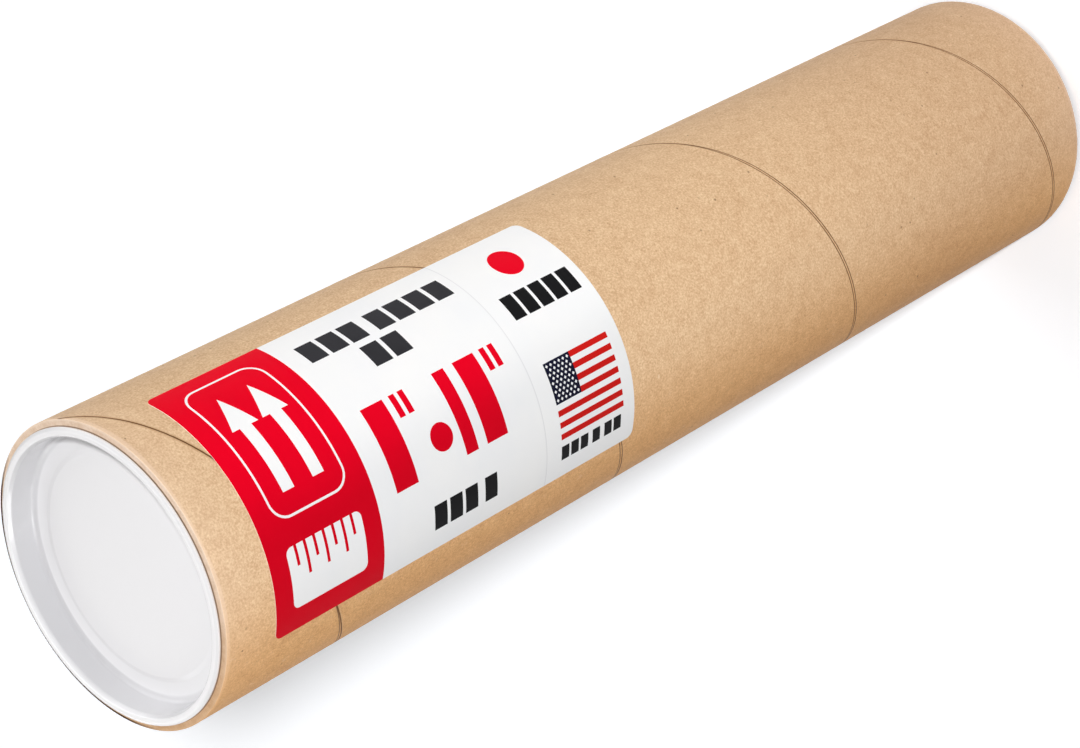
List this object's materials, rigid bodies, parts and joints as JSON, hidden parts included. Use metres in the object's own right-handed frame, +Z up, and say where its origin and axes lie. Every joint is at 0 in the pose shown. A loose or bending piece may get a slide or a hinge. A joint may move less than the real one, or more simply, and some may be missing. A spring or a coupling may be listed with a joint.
{
  "type": "mailing tube",
  "caption": "Round paperboard mailing tube with a spiral seam, plastic push-in caps at both ends and a wrapped paper label.",
  "frame": {"origin": "on the floor under the tube's axis, at the rim of the cap that the tube stands on", "axes": "+Z up along the tube's axis, -Y towards the middle of the label"},
  "size_m": [0.1016, 0.1019, 0.4604],
  "materials": {
    "kraft_board": "matte, fine flecks",
    "white_plastic": "satin moulded plastic",
    "label_paper": "smooth coated paper",
    "red_ink": "printed ink",
    "dark_ink": "printed ink",
    "navy_ink": "printed ink"
  },
  "bodies": {
    "bottom_cap": {"bottom_end_cap": "white_plastic"},
    "tube": {"tube_body": "kraft_board", "paper_label": "label_paper", "red_print": "red_ink", "dark_print": "dark_ink", "navy_print": "navy_ink"},
    "top_cap": {"top_end_cap": "white_plastic"}
  },
  "joints": [
    {"name": "bottom_cap_pull", "type": "slide", "parent": "bottom_cap", "child": "tube", "axis": [0, 0, 1], "range_m": [0, 0.03]},
    {"name": "top_cap_pull", "type": "slide", "parent": "tube", "child": "top_cap", "axis": [0, 0, 1], "range_m": [0, 0.03]}
  ]
}
